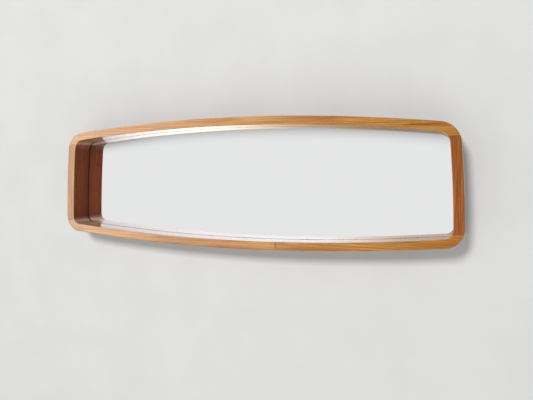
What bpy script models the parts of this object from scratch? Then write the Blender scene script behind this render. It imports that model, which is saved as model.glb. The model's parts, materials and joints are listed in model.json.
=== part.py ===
"""Wall mirror in a deep solid wood frame that has the outline of a car's rear-view mirror.

Frame of reference: +X along the mirror, +Z up, +Y towards the wall. The origin is the
middle of the rear face of the backboard. Everything is in metres, and depths are measured
back from the front face of the wood.
"""

import math

import bmesh
import bpy
from mathutils import Matrix, Vector

MM = 0.001

# Outline of the frame: four shallow arcs through four corners, then rounded.
TOP_HALF_LENGTH = 487 * MM
BOTTOM_HALF_LENGTH = 500 * MM
CORNER_HEIGHT = 126 * MM
TOP_RISE = 29.5 * MM
BOTTOM_RISE = 27.5 * MM
END_RISE = 3 * MM
TOP_CORNER_RADIUS = 47 * MM
BOTTOM_CORNER_RADIUS = 41 * MM

# Section of the frame: the wall, the rebate behind it and the eased edges.
RAIL_WALL = 20 * MM
STILE_WALL = 22 * MM
REBATE_WIDTH = 7 * MM
SHOULDER_DEPTH = 55 * MM
FRAME_DEPTH = 71 * MM
OUTER_EASE = 2.5 * MM
INNER_EASE = 1.2 * MM
BACK_EASE = 1 * MM

# Butt joints between rails and stiles, and the dowels in them.
JOINT_HEIGHT = 100 * MM
DOWEL_RADIUS = 3 * MM
DOWEL_LENGTH = 30 * MM
DOWEL_CHAMFER = 0.8 * MM
DOWEL_HOLE_LENGTH = 32 * MM
DOWEL_X_TOP = 473 * MM
DOWEL_X_BOTTOM = 484 * MM
DOWEL_DEPTHS = (16 * MM, 40 * MM)

# Layers in the rebate, front to back.
TAPE_THICKNESS = 2 * MM
GLASS_THICKNESS = 4 * MM
FOAM_THICKNESS = 2 * MM
BACKBOARD_THICKNESS = 6.5 * MM
LAYER_CLEARANCE = 1 * MM
TAPE_SETBACK = 0.4 * MM

# Hardware on the back.
SCREW_RADIUS = 1.75 * MM
SCREW_LENGTH = 12 * MM
SCREW_TIP = 3 * MM
HEAD_RADIUS = 3.5 * MM
HEAD_HEIGHT = 2 * MM
PLATE_THICKNESS = 1.2 * MM
BUTTON_PIVOT_RADIUS = 5.2 * MM
BUTTON_TIP_RADIUS = 4 * MM
BUTTON_LENGTH = 16 * MM
BUTTON_X = 320 * MM
STILE_BUTTON_Z = -25 * MM
RING_WIRE_RADIUS = 1.25 * MM
RING_HALF_WIDTH = 7.5 * MM
RING_CORNER_RADIUS = 2.5 * MM
RING_ARC_HEIGHT = 6 * MM
RING_Z = 75 * MM
HANGER_INSET = 9.5 * MM
STRAP_WIDTH = 9 * MM
STRAP_LENGTH = 45 * MM
STRAP_FOLD_LENGTH = 13 * MM
STRAP_SCREWS = (24 * MM, 38 * MM)
BUMPER_RADIUS = 5 * MM
BUMPER_FACE_RADIUS = 3.8 * MM
BUMPER_ROUND = 1 * MM
BUMPER_THICKNESS = 6 * MM
BUMPER_TOP_X = 425 * MM
BUMPER_BOTTOM_X = 438 * MM

# Clearance between pieces that rest on each other or fit into each other.
GAP = 0.3 * MM

LAYERS = (TAPE_THICKNESS, GLASS_THICKNESS, FOAM_THICKNESS, BACKBOARD_THICKNESS)
FRONT_Y = -(SHOULDER_DEPTH + sum(LAYERS) + GAP * len(LAYERS))
BACK_Y = FRONT_Y + FRAME_DEPTH
PLATE_Y = BACK_Y + GAP
HEAD_Y = PLATE_Y + PLATE_THICKNESS + GAP
RAIL_BACK_WIDTH = RAIL_WALL - REBATE_WIDTH
STILE_BACK_WIDTH = STILE_WALL - REBATE_WIDTH
RAIL_HARDWARE_INSET = (RAIL_BACK_WIDTH + BACK_EASE) / 2
STILE_HARDWARE_INSET = (STILE_BACK_WIDTH + BACK_EASE) / 2
LOOP_BORE = RING_WIRE_RADIUS + GAP
LOOP_RADIUS = LOOP_BORE + PLATE_THICKNESS

# Straight pieces per arc.
RAIL_STEPS = 24
STILE_STEPS = 6
CORNER_STEPS = 9
EASED_STEPS = 3
QUARTER_STEPS = 4
HALF_STEPS = 10
LOOP_STEPS = 18
ROUND_STEPS = 16

# How near points are joined, how far cutters reach past the wood, and shading angles.
MERGE_DISTANCE = 0.01 * MM
CUTTER_MARGIN = 100 * MM
SMOOTH_ANGLE = math.radians(30)
CHAMFER_ANGLE = math.radians(60)

# Clockwise from the top left, seen from the front.
CORNERS = (
    (Vector((-TOP_HALF_LENGTH, CORNER_HEIGHT)), TOP_CORNER_RADIUS),
    (Vector((TOP_HALF_LENGTH, CORNER_HEIGHT)), TOP_CORNER_RADIUS),
    (Vector((BOTTOM_HALF_LENGTH, -CORNER_HEIGHT)), BOTTOM_CORNER_RADIUS),
    (Vector((-BOTTOM_HALF_LENGTH, -CORNER_HEIGHT)), BOTTOM_CORNER_RADIUS),
)
SIDE_RISES = {"top": TOP_RISE, "right": END_RISE, "bottom": BOTTOM_RISE, "left": END_RISE}


# ---------------------------------------------------------------- scene and materials


def clear_scene():
    for thing in list(bpy.data.objects):
        bpy.data.objects.remove(thing)


def new_collection(name):
    collection = bpy.data.collections.new(name)
    bpy.context.scene.collection.children.link(collection)
    return collection


def new_material(name, colour, roughness, metallic=0.0):
    material = bpy.data.materials.new(name)
    material.use_nodes = True
    shader = material.node_tree.nodes["Principled BSDF"]
    shader.inputs["Base Color"].default_value = (*colour, 1.0)
    shader.inputs["Roughness"].default_value = roughness
    shader.inputs["Metallic"].default_value = metallic
    material.diffuse_color = (*colour, 1.0)
    return material


# ---------------------------------------------------------------- outline of the frame


def side_circles():
    """Centre and radius of the shallow arc of each side, on the outer face of the frame."""
    circles = {}
    for index, (side, rise) in enumerate(SIDE_RISES.items()):
        start = CORNERS[index][0]
        end = CORNERS[(index + 1) % len(CORNERS)][0]
        chord = end - start
        radius = ((chord.length / 2) ** 2 + rise**2) / (2 * rise)
        outward = Vector((-chord.y, chord.x)).normalized()
        circles[side] = ((start + end) / 2 + outward * (rise - radius), radius)
    return circles


SIDE_CIRCLES = side_circles()


def circle_crossing(first, second, near):
    """The crossing of two circles, each a centre and a radius, that is closest to a point."""
    between = second[0] - first[0]
    along = (first[1] ** 2 - second[1] ** 2 + between.length_squared) / (2 * between.length)
    across = math.sqrt(first[1] ** 2 - along**2)
    direction = between.normalized()
    sideways = Vector((-direction.y, direction.x)) * across
    foot = first[0] + direction * along
    return min(foot + sideways, foot - sideways, key=lambda point: (point - near).length)


def arc(centre, start, end, steps):
    """Points on the short arc from start to end, without the end itself."""
    radius = (start - centre).length
    begin = math.atan2(start.y - centre.y, start.x - centre.x)
    finish = math.atan2(end.y - centre.y, end.x - centre.x)
    turn = (finish - begin + math.pi) % (2 * math.pi) - math.pi
    angles = [begin + turn * step / steps for step in range(steps)]
    return [centre + Vector((math.cos(angle), math.sin(angle))) * radius for angle in angles]


def frame_outline(rail_inset, stile_inset):
    """Closed outline, clockwise seen from the front, set in from the outer face of the wood."""
    insets = {"top": rail_inset, "right": stile_inset, "bottom": rail_inset, "left": stile_inset}
    sides = [(centre, radius - insets[side]) for side, (centre, radius) in SIDE_CIRCLES.items()]
    steps = (RAIL_STEPS, STILE_STEPS, RAIL_STEPS, STILE_STEPS)
    rounds = []
    for index, (corner, outer_radius) in enumerate(CORNERS):
        radius = outer_radius - (rail_inset + stile_inset) / 2
        before, after = sides[index - 1], sides[index]
        centre = circle_crossing(
            (before[0], before[1] - radius), (after[0], after[1] - radius), corner
        )
        touches = [side[0] + (centre - side[0]).normalized() * side[1] for side in (before, after)]
        rounds.append((centre, *touches))
    points = []
    for index, (centre, start, end) in enumerate(rounds):
        next_start = rounds[(index + 1) % len(rounds)][1]
        points += arc(centre, start, end, CORNER_STEPS)
        points += arc(sides[index][0], end, next_start, steps[index])
    return points


def place_on_side(side, along, inset):
    """Point of a side's arc at X (rails) or Z (stiles) = along, and the direction inwards."""
    centre, radius = SIDE_CIRCLES[side]
    horizontal = side in ("top", "bottom")
    offset = along - (centre.x if horizontal else centre.y)
    reach = math.sqrt((radius - inset) ** 2 - offset**2)
    if side in ("bottom", "left"):
        reach = -reach
    point = Vector((along, centre.y + reach) if horizontal else (centre.x + reach, along))
    return point, (centre - point).normalized()


# ---------------------------------------------------------------- shapes


def fan(centre, radius, start_degrees, end_degrees, steps):
    """Points on an arc given by its angles, both ends included."""
    points = []
    for step in range(steps + 1):
        angle = math.radians(start_degrees + (end_degrees - start_degrees) * step / steps)
        spoke = Vector((math.cos(angle), math.sin(angle)))
        points.append(Vector(centre) + spoke * radius)
    return points


def circle_points(radius, centre=(0.0, 0.0)):
    return fan(centre, radius, 0, 360, ROUND_STEPS)[:-1]


def add_object(name, data, collection, material=None, location=(0, 0, 0), rotation=(0, 0, 0)):
    thing = bpy.data.objects.new(name, data)
    thing.location = location
    thing.rotation_euler = rotation
    collection.objects.link(thing)
    if material:
        data.materials.clear()
        data.materials.append(material)
    return thing


def new_curve(name, dimensions, loops):
    curve = bpy.data.curves.new(name, "CURVE")
    curve.dimensions = dimensions
    for loop in loops:
        spline = curve.splines.new("POLY")
        spline.points.add(len(loop) - 1)
        for point, place in zip(spline.points, loop):
            point.co = (*place, 0.0, 1.0) if len(place) == 2 else (*place, 1.0)
        spline.use_cyclic_u = True
    return curve


def flat_curve(name, loops, thickness):
    """A flat outline, with holes where loops lie inside each other, half each way from its plane."""
    curve = new_curve(name, "2D", loops)
    curve.fill_mode = "BOTH"
    curve.extrude = thickness / 2
    return curve


# Rotations of a shape drawn in XY or turned about Z.
ALONG_Z = (0, 0, 0)
UPRIGHT = (math.radians(90), 0, 0)
FACING_BACK = (math.radians(-90), 0, 0)


def add_layer(name, loops, depth, thickness, collection, material=None):
    """An upright plate whose front face lies at depth behind the front of the frame."""
    curve = flat_curve(name, loops, thickness)
    middle = FRONT_Y + depth + thickness / 2
    return add_object(name, curve, collection, material, (0, middle, 0), UPRIGHT)


def as_mesh(thing):
    """Replaces a curve object by the mesh it makes, with its caps joined on."""
    bpy.context.view_layer.update()
    evaluated = thing.evaluated_get(bpy.context.evaluated_depsgraph_get())
    mesh = bpy.data.meshes.new_from_object(evaluated)
    shape = bmesh.new()
    shape.from_mesh(mesh)
    bmesh.ops.remove_doubles(shape, verts=shape.verts, dist=MERGE_DISTANCE)
    bmesh.ops.recalc_face_normals(shape, faces=shape.faces)
    shape.to_mesh(mesh)
    shape.free()
    name = thing.name
    matrix = thing.matrix_world.copy()
    collection = thing.users_collection[0]
    bpy.data.objects.remove(thing)
    solid = add_object(name, mesh, collection)
    solid.matrix_world = matrix
    return solid


def cylinder_mesh(name, radius, length):
    """A cylinder along Z, centred on its origin."""
    mesh = bpy.data.meshes.new(name)
    shape = bmesh.new()
    bmesh.ops.create_cone(
        shape, cap_ends=True, segments=ROUND_STEPS, radius1=radius, radius2=radius, depth=length
    )
    shape.to_mesh(mesh)
    shape.free()
    return mesh


def block(name, low, high, collection):
    """A box between two corners."""
    low, high = Vector(low), Vector(high)
    mesh = bpy.data.meshes.new(name)
    shape = bmesh.new()
    bmesh.ops.create_cube(shape, size=1.0)
    bmesh.ops.scale(shape, vec=high - low, verts=shape.verts)
    shape.to_mesh(mesh)
    shape.free()
    return add_object(name, mesh, collection, location=(low + high) / 2)


def turned_object(name, profile, collection, material, location):
    """A turned piece: the profile runs from its top to its bottom, and its top points back."""
    mesh = bpy.data.meshes.new(name)
    edges = [(index, index + 1) for index in range(len(profile) - 1)]
    mesh.from_pydata([(radius, 0.0, height) for radius, height in profile], edges, [])
    piece = add_object(name, mesh, collection, material, location, FACING_BACK)
    screw = piece.modifiers.new("Turn", "SCREW")
    screw.axis = "Z"
    screw.steps = ROUND_STEPS
    screw.render_steps = ROUND_STEPS
    screw.use_merge_vertices = True
    screw.merge_threshold = MERGE_DISTANCE
    screw.use_smooth_shade = True
    return piece


def make_cutter(thing):
    thing.hide_render = True
    thing.display_type = "WIRE"
    return thing


def add_boolean(thing, name, operation, cutter):
    """Cuts with one object, or with all the objects of a collection."""
    modifier = thing.modifiers.new(name, "BOOLEAN")
    modifier.operation = operation
    modifier.solver = "EXACT"
    if isinstance(cutter, bpy.types.Collection):
        modifier.operand_type = "COLLECTION"
        modifier.collection = cutter
    else:
        modifier.object = cutter


def shade_round(mesh):
    mesh.shade_smooth()
    mesh.set_sharp_from_angle(angle=SMOOTH_ANGLE)


# ---------------------------------------------------------------- frame


def frame_section():
    """Section of the frame as (inset on rails, inset on stiles, depth), once round."""
    outer = fan((OUTER_EASE, OUTER_EASE), OUTER_EASE, 180, 270, EASED_STEPS)
    inner = fan((-INNER_EASE, INNER_EASE), INNER_EASE, 270, 360, EASED_STEPS)
    return [
        *[(point.x, point.x, point.y) for point in outer],
        *[(RAIL_WALL + point.x, STILE_WALL + point.x, point.y) for point in inner],
        (RAIL_WALL, STILE_WALL, SHOULDER_DEPTH),
        (RAIL_BACK_WIDTH, STILE_BACK_WIDTH, SHOULDER_DEPTH),
        (RAIL_BACK_WIDTH, STILE_BACK_WIDTH, FRAME_DEPTH),
        (BACK_EASE, BACK_EASE, FRAME_DEPTH),
        (0.0, 0.0, FRAME_DEPTH - BACK_EASE),
    ]


def add_ring(cutters):
    """The whole frame as one ring. Its wall is thicker at the ends than along the rails,
    so each lengthwise line of the section is an outline of its own, and quads join them."""
    shape = bmesh.new()
    rows = [
        [shape.verts.new((place.x, FRONT_Y + depth, place.y)) for place in frame_outline(rail, stile)]
        for rail, stile, depth in frame_section()
    ]
    for row, following in zip(rows, rows[1:] + rows[:1]):
        for index in range(len(row)):
            after = (index + 1) % len(row)
            shape.faces.new((row[index], row[after], following[after], following[index]))
    bmesh.ops.recalc_face_normals(shape, faces=shape.faces)
    mesh = bpy.data.meshes.new("frame_ring")
    shape.to_mesh(mesh)
    shape.free()
    return make_cutter(add_object("frame_ring", mesh, cutters))


def add_boards(ring, holes, parts, cutters, materials):
    """Cuts the ring into two rails and two stiles, and takes the holes out of them."""
    far = BOTTOM_HALF_LENGTH + CUTTER_MARGIN
    high = CORNER_HEIGHT + CUTTER_MARGIN
    front, back = FRONT_Y - CUTTER_MARGIN, BACK_Y + CUTTER_MARGIN
    seam = JOINT_HEIGHT + GAP / 2
    inner = JOINT_HEIGHT - GAP / 2
    spans = {
        "top_rail": ((-far, front, seam), (far, back, high)),
        "bottom_rail": ((-far, front, -high), (far, back, -seam)),
        "left_stile": ((-far, front, -inner), (0, back, inner)),
        "right_stile": ((0, front, -inner), (far, back, inner)),
    }
    for name, (low, top) in spans.items():
        mesh = ring.data.copy()
        mesh.name = name
        material = materials["stile_wood" if "stile" in name else "rail_wood"]
        board = add_object(name, mesh, parts, material)
        board.matrix_world = ring.matrix_world.copy()
        shade_round(mesh)
        span = make_cutter(block(name + "_span", low, top, cutters))
        add_boolean(board, "Board", "INTERSECT", span)
        add_boolean(board, "Holes", "DIFFERENCE", holes)


def add_hole(name, radius, length, location, rotation, holes):
    mesh = cylinder_mesh(name, radius, length)
    make_cutter(add_object(name, mesh, holes, location=location, rotation=rotation))


def add_dowels(parts, holes, material):
    """Two dowels across each of the four butt joints."""
    mesh = cylinder_mesh("dowel", DOWEL_RADIUS, DOWEL_LENGTH)
    shade_round(mesh)
    for level, height, reach in (
        ("top", JOINT_HEIGHT, DOWEL_X_TOP),
        ("bottom", -JOINT_HEIGHT, DOWEL_X_BOTTOM),
    ):
        for side, sign in (("left", -1), ("right", 1)):
            for place, depth in zip(("front", "rear"), DOWEL_DEPTHS):
                name = f"dowel_{level}_{side}_{place}"
                location = (sign * reach, FRONT_Y + depth, height)
                dowel = add_object(name, mesh, parts, material, location)
                chamfer = dowel.modifiers.new("Chamfer", "BEVEL")
                chamfer.width = DOWEL_CHAMFER
                chamfer.segments = 1
                chamfer.limit_method = "ANGLE"
                chamfer.angle_limit = CHAMFER_ANGLE
                hole_radius = DOWEL_RADIUS + GAP
                add_hole(f"{name}_hole", hole_radius, DOWEL_HOLE_LENGTH, location, ALONG_Z, holes)


# ---------------------------------------------------------------- layers behind the opening


def add_rebate_layers(parts, materials):
    """Glazing tape, mirror, foam sheet and backboard, each a gap behind the one before."""
    edge = frame_outline(RAIL_BACK_WIDTH + LAYER_CLEARANCE, STILE_BACK_WIDTH + LAYER_CLEARANCE)
    tape_edge = frame_outline(RAIL_WALL - TAPE_SETBACK, STILE_WALL - TAPE_SETBACK)
    depth = SHOULDER_DEPTH + GAP
    for name, loops, thickness, material in (
        ("glazing_tape", [edge, tape_edge], TAPE_THICKNESS, "foam"),
        ("mirror_glass", [edge], GLASS_THICKNESS, "mirror"),
        ("foam_sheet", [edge], FOAM_THICKNESS, "foam_white"),
        ("backboard", [edge], BACKBOARD_THICKNESS, "plywood"),
    ):
        add_layer(name, loops, depth, thickness, parts, materials[material])
        depth += thickness + GAP


# ---------------------------------------------------------------- hardware on the back


def add_screw(name, point, parts, holes, material):
    """A round head screw through a plate, driven into the back of the frame at a point."""
    turns = [math.radians(90) * step / QUARTER_STEPS for step in range(QUARTER_STEPS + 1)]
    head = [(HEAD_RADIUS * math.sin(turn), HEAD_HEIGHT * math.cos(turn)) for turn in turns]
    shank = -(SCREW_LENGTH + PLATE_THICKNESS)
    profile = [
        *head,
        (SCREW_RADIUS, 0.0),
        (SCREW_RADIUS, shank + SCREW_TIP),
        (0.0, shank),
    ]
    turned_object(name, profile, parts, material, (point.x, HEAD_Y, point.y))
    length = 2 * (SCREW_LENGTH + GAP)
    place = (point.x, BACK_Y, point.y)
    add_hole(f"{name}_hole", SCREW_RADIUS + GAP, length, place, UPRIGHT, holes)


def button_outline():
    """Tapered tab: a round about the pivot, a smaller round at the tip, and their tangents."""
    lean = math.degrees(math.asin((BUTTON_PIVOT_RADIUS - BUTTON_TIP_RADIUS) / BUTTON_LENGTH))
    tip = fan((0, BUTTON_LENGTH), BUTTON_TIP_RADIUS, lean, 180 - lean, HALF_STEPS)
    pivot = fan((0, 0), BUTTON_PIVOT_RADIUS, 180 - lean, 360 + lean, HALF_STEPS)
    return tip + pivot


def add_turn_buttons(parts, holes, materials):
    """Tabs that turn about their screws and hold the backboard in."""
    places = [
        (f"{side}_{label}", side, along, RAIL_HARDWARE_INSET)
        for side in ("top", "bottom")
        for label, along in (("left", -BUTTON_X), ("middle", 0.0), ("right", BUTTON_X))
    ]
    places += [(side, side, STILE_BUTTON_Z, STILE_HARDWARE_INSET) for side in ("left", "right")]
    loops = [button_outline(), circle_points(SCREW_RADIUS + GAP)]
    curve = flat_curve("turn_button", loops, PLATE_THICKNESS)
    for label, side, along, inset in places:
        point, inwards = place_on_side(side, along, inset)
        name = f"turn_button_{label}"
        location = (point.x, PLATE_Y + PLATE_THICKNESS / 2, point.y)
        lean = math.atan2(inwards.y, inwards.x) - math.radians(90)
        button = add_object(name, curve.copy(), parts, materials["zinc"], location)
        turned = Matrix.Rotation(-lean, 3, "Y") @ Matrix.Rotation(UPRIGHT[0], 3, "X")
        button.rotation_euler = turned.to_euler()
        add_screw(f"button_screw_{label}", point, parts, holes, materials["steel"])


def strap_profile():
    """Side view of the folded strap: flat plate, loop round the ring's bar, and short fold."""
    top = 2 * PLATE_THICKNESS
    dip = math.degrees(math.asin((LOOP_RADIUS - top) / LOOP_RADIUS))
    loop = fan((0, LOOP_RADIUS), LOOP_RADIUS, -90, 180 + dip, LOOP_STEPS)
    return [
        Vector((-STRAP_LENGTH, 0)),
        *loop,
        Vector((-STRAP_FOLD_LENGTH, top)),
        Vector((-STRAP_FOLD_LENGTH, PLATE_THICKNESS)),
        Vector((-STRAP_LENGTH, PLATE_THICKNESS)),
    ]


def strap_plan():
    """Front view of the strap: square at the loop, round at the lower end."""
    half = STRAP_WIDTH / 2
    top = LOOP_RADIUS + GAP
    lower = fan((0, half - STRAP_LENGTH), half, 180, 360, HALF_STEPS)
    return [Vector((half, top)), Vector((-half, top)), *lower]


def ring_path():
    """Centre line of the D-ring's wire: a straight bar, two small rounds and a large arc."""
    bar = RING_HALF_WIDTH - RING_CORNER_RADIUS
    right = fan((bar, RING_CORNER_RADIUS), RING_CORNER_RADIUS, -90, 0, QUARTER_STEPS)
    over = fan((0, RING_ARC_HEIGHT), RING_HALF_WIDTH, 0, 180, HALF_STEPS)
    left = fan((-bar, RING_CORNER_RADIUS), RING_CORNER_RADIUS, 180, 270, QUARTER_STEPS)
    return [Vector((point.x, 0, point.y)) for point in right + over + left]


def add_hangers(parts, holes, cutters, materials):
    """A folded strap on each stile, with two screws and a D-ring that swings in its loop."""
    side_view = Matrix(((0, 0, -1), (0, 1, 0), (1, 0, 0))).to_euler()
    for side in ("left", "right"):
        point, _ = place_on_side(side, RING_Z, HANGER_INSET)
        axis = Vector((point.x, PLATE_Y + LOOP_RADIUS, RING_Z))
        name = f"hanger_strap_{side}"
        loops = [strap_profile(), circle_points(LOOP_BORE, (0, LOOP_RADIUS))]
        curve = flat_curve(name, loops, STRAP_WIDTH)
        location = (point.x, PLATE_Y, RING_Z)
        strap = as_mesh(add_object(name, curve, parts, None, location, side_view))
        strap.data.materials.append(materials["zinc"])
        plan = flat_curve(f"{name}_plan", [strap_plan()], FRAME_DEPTH)
        plan = add_object(f"{name}_plan", plan, cutters, None, location, UPRIGHT)
        add_boolean(strap, "Plan", "INTERSECT", make_cutter(as_mesh(plan)))
        for label, drop in zip(("upper", "lower"), STRAP_SCREWS):
            spot = Vector((point.x, RING_Z - drop))
            hole = cylinder_mesh(f"{name}_{label}_hole", SCREW_RADIUS + GAP, FRAME_DEPTH)
            place = (spot.x, PLATE_Y, spot.y)
            hole = make_cutter(add_object(hole.name, hole, cutters, None, place, UPRIGHT))
            add_boolean(strap, f"Screw {label}", "DIFFERENCE", hole)
            add_screw(f"strap_screw_{side}_{label}", spot, parts, holes, materials["steel"])
        shade_round(strap.data)
        wire = new_curve(f"d_ring_{side}", "3D", [ring_path()])
        wire.bevel_depth = RING_WIRE_RADIUS
        wire.bevel_resolution = 2
        add_object(f"d_ring_{side}", wire, parts, materials["steel"], axis)


def add_bumpers(parts, material):
    """Four rubber bumpers whose flat faces rest on the wall."""
    height = BUMPER_THICKNESS - GAP
    edge = fan((BUMPER_FACE_RADIUS, height - BUMPER_ROUND), BUMPER_ROUND, 90, 0, QUARTER_STEPS)
    profile = [
        (0.0, height),
        *[(point.x, point.y) for point in edge],
        (BUMPER_RADIUS, 0.0),
        (0.0, 0.0),
    ]
    for side, reach in (("top", BUMPER_TOP_X), ("bottom", BUMPER_BOTTOM_X)):
        for hand, sign in (("left", -1), ("right", 1)):
            point, _ = place_on_side(side, sign * reach, RAIL_HARDWARE_INSET)
            location = (point.x, PLATE_Y, point.y)
            turned_object(f"bumper_{side}_{hand}", profile, parts, material, location)


# ---------------------------------------------------------------- the whole mirror


def make_materials():
    return {
        "rail_wood": new_material("Rail wood", (0.50, 0.27, 0.12), 0.35),
        "stile_wood": new_material("Stile wood", (0.34, 0.13, 0.05), 0.35),
        "dowel_wood": new_material("Dowel wood", (0.60, 0.42, 0.24), 0.6),
        "mirror": new_material("Mirror glass", (0.85, 0.88, 0.88), 0.02, 1.0),
        "foam": new_material("Black foam", (0.02, 0.02, 0.02), 0.9),
        "foam_white": new_material("White foam", (0.80, 0.80, 0.78), 0.8),
        "plywood": new_material("Plywood", (0.55, 0.38, 0.22), 0.7),
        "zinc": new_material("Zinc plate", (0.62, 0.62, 0.60), 0.35, 1.0),
        "steel": new_material("Steel", (0.70, 0.69, 0.66), 0.25, 1.0),
        "rubber": new_material("Rubber", (0.03, 0.03, 0.03), 0.8),
    }


def main():
    clear_scene()
    parts = new_collection("Wall mirror")
    cutters = new_collection("Cutters")
    holes = new_collection("Holes in the frame")
    materials = make_materials()
    ring = add_ring(cutters)
    add_boards(ring, holes, parts, cutters, materials)
    add_dowels(parts, holes, materials["dowel_wood"])
    add_rebate_layers(parts, materials)
    add_turn_buttons(parts, holes, materials)
    add_hangers(parts, holes, cutters, materials)
    add_bumpers(parts, materials["rubber"])


main()
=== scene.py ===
import json
import math
from collections import namedtuple

import bmesh
import bpy
from mathutils import Matrix, Vector


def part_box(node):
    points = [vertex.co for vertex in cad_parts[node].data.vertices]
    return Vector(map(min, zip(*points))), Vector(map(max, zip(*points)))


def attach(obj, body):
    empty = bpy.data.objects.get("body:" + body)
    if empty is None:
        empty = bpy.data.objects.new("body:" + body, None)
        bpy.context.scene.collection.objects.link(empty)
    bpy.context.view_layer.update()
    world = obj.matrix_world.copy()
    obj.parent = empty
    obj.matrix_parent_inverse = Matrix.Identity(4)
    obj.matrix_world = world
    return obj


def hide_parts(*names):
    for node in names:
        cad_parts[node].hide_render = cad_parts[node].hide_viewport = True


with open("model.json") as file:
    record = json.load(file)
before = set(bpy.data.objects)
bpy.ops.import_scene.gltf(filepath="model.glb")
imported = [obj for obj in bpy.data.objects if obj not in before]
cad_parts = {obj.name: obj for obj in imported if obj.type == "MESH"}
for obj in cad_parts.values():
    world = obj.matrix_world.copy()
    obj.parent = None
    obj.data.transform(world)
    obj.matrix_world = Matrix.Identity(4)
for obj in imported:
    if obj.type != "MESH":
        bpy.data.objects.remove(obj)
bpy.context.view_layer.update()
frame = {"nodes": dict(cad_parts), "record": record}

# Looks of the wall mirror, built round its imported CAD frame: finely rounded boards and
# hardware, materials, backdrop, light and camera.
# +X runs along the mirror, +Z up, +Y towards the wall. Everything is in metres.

MM = 0.001

# Outline of the frame: four shallow arcs through four corners, then rounded.
TOP_HALF_LENGTH = 487 * MM
BOTTOM_HALF_LENGTH = 500 * MM
CORNER_HEIGHT = 126 * MM
TOP_CORNER_RADIUS = 47 * MM
BOTTOM_CORNER_RADIUS = 41 * MM
END_RISE = 3 * MM
TOP_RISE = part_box("top_rail")[1].z - CORNER_HEIGHT
BOTTOM_RISE = -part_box("bottom_rail")[0].z - CORNER_HEIGHT

# Section of the frame, and the depths that the CAD frame gives.
RAIL_WALL = 20 * MM
STILE_WALL = 22 * MM
REBATE_WIDTH = 7 * MM
OUTER_EASE = 2.5 * MM
INNER_EASE = 1.2 * MM
BACK_EASE = 1 * MM
SAWN_EDGE_EASE = 0.4 * MM
FIT_GAP = 0.3 * MM
FRONT_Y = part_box("top_rail")[0].y
BACK_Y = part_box("top_rail")[1].y
WALL_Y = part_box("bumper_top_left")[1].y
SHOULDER_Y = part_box("glazing_tape")[0].y - FIT_GAP
GLASS_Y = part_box("mirror_glass")[0].y
JOINT_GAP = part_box("top_rail")[0].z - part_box("left_stile")[1].z
JOINT_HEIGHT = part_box("left_stile")[1].z + JOINT_GAP / 2

# Hardware. Screws are driven to different turns, in radians.
HEAD_RADIUS = 3.5 * MM
HEAD_HEIGHT = 2 * MM
HEAD_FULLNESS = 0.8
THREAD_RADIUS = 1.75 * MM
CORE_RADIUS = 1.25 * MM
THREAD_PITCH = 1.6 * MM
THREAD_SLOPE = 3.0
PLAIN_SHANK = 2.4 * MM
POINT_LENGTH = 3 * MM
RECESS_WIDTH = 0.8 * MM
RECESS_LENGTH = 3.8 * MM
RECESS_DEPTH = 1.4 * MM
RECESS_NARROWING = 0.45
TURN_BETWEEN_SCREWS = 0.7
SCREW_CLEARANCE = 0.3 * MM
BUTTON_PIVOT_RADIUS = 5.2 * MM
BUTTON_TIP_RADIUS = 4 * MM
BUTTON_LENGTH = 16 * MM
RING_WIRE_RADIUS = 1.25 * MM
RING_HALF_WIDTH = 7.5 * MM
RING_CORNER_RADIUS = 2.5 * MM
RING_ARC_HEIGHT = 6 * MM
BUMPER_RADIUS = 5 * MM
BUMPER_FACE_RADIUS = 3.8 * MM
BUMPER_ROUND = 1 * MM
BUMPER_FOOT_EASE = 0.3 * MM
GROOVE_DEPTH = 0.3 * MM
GROOVE_INNER_RADIUS = 1.9 * MM
GROOVE_OUTER_RADIUS = 2.7 * MM
GROOVE_SLOPE = 0.2 * MM
DOWEL_RADIUS = 3 * MM
DOWEL_CHAMFER = 0.8 * MM
FLUTE_COUNT = 12
FLUTE_DEPTH = 0.25 * MM
PRESSED_EDGE_EASE = 0.25 * MM

# How round the edges of the carried-over CAD nodes are.
GLASS_EASE = 0.4 * MM
TAPE_EASE = 0.2 * MM
FOAM_EASE = 0.3 * MM
BACKBOARD_EASE = 0.4 * MM
STRAP_EASE = 0.15 * MM

# Edges sharper than this, in degrees, are shaded as edges.
SCREW_CREASE = 40
BUMPER_CREASE = 50
DOWEL_CREASE = 30

# Straight pieces per arc.
RAIL_STEPS = 96
STILE_STEPS = 24
CORNER_STEPS = 24
EASED_STEPS = 6
QUARTER_STEPS = 8
HALF_STEPS = 24
ROUND_STEPS = 48
THREAD_STEPS = 6

# Camera: its place, where it looks and its lens.
CAMERA_PLACE = Vector((501.8 * MM, FRONT_Y - 1119.6 * MM, 26.9 * MM))
CAMERA_YAW = math.radians(20.934)
CAMERA_PITCH = math.radians(-3.045)
CAMERA_LENS = 35.41
SENSOR_WIDTH = 36.0

# Brightness of what surrounds the mirror.
BACKDROP_LEVEL = 0.66
AMBIENT_LEVEL = 0.30
MIRRORED_LEVEL = 0.81
FLOOR_GLOW = 0.17
SHEEN_RISE = 13.0
SHEEN_LIMIT = 5.5

# A ray goes to the room's window when its leftward part, plus its rising part times the
# lean, is past the edge. The edge is soft, from the first value to the second.
WINDOW_LEAN = 1.135
WINDOW_EDGE = (0.22, 0.40)

# The wall and floor reach this far to the sides and, for the floor, to front and back.
STAGE_REACH = 6.0
FLOOR_HEIGHT = -1.3
WALL_HEIGHT = 4.0

# Lamps, each with the length of its side in metres and its power in watts.
Lamp = namedtuple("Lamp", "name place size power")
LAMPS = (
    Lamp("Key light", (-0.5, -5.0, 2.2), 1.2, 168),
    Lamp("Rear fill", (-0.6, 3.4, 2.2), 1.6, 110),
)

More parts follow.
